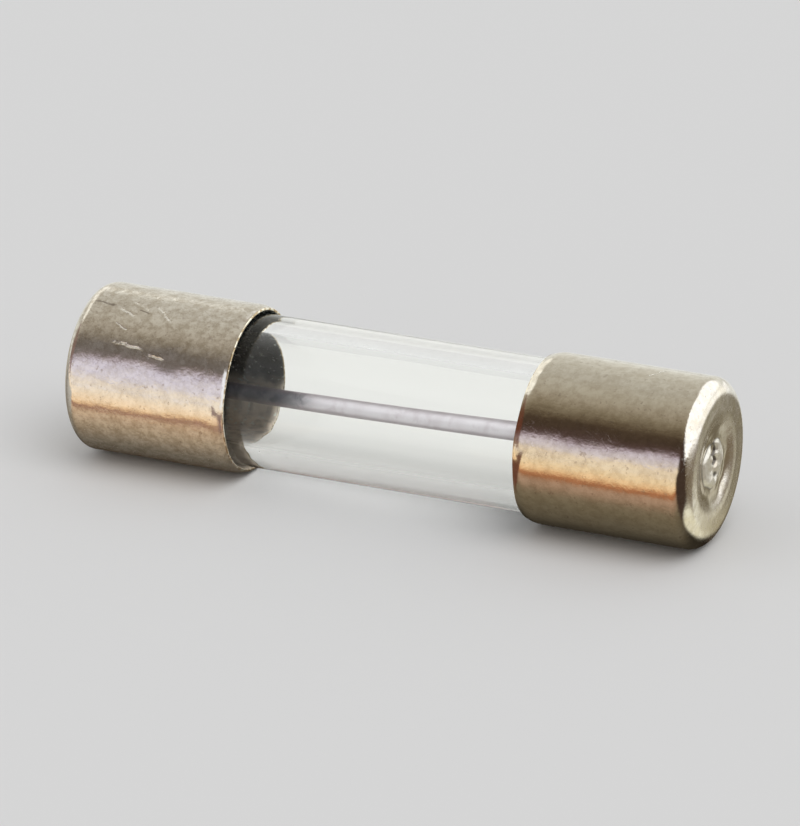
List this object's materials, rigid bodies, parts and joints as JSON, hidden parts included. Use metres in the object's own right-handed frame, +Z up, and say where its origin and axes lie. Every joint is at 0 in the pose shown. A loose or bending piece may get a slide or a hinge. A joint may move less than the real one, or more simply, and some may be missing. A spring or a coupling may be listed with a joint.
{
  "type": "cartridge fuse",
  "caption": "Miniature glass cartridge fuse with pierced metal end caps and a straight diagonal fuse wire soldered to both caps.",
  "frame": {"origin": "the middle of the fuse, on its axis", "axes": "+X along the fuse, from the left cap to the right cap; +Z up with the fuse lying down"},
  "size_m": [0.02, 0.005, 0.0051],
  "materials": {
    "tube_glass": "clear, fire-polished ends",
    "cap_plating": "nickel-plated brass, faintly scuffed, raw brass at the cut rim",
    "wire_metal": "tinned copper, dull",
    "solder": "bright solder, cratered"
  },
  "bodies": {
    "root": {"glass_tube": "tube_glass", "end_cap_left": "cap_plating", "end_cap_right": "cap_plating", "fuse_wire": "wire_metal", "solder_left": "solder", "solder_right": "solder"}
  },
  "joints": []
}
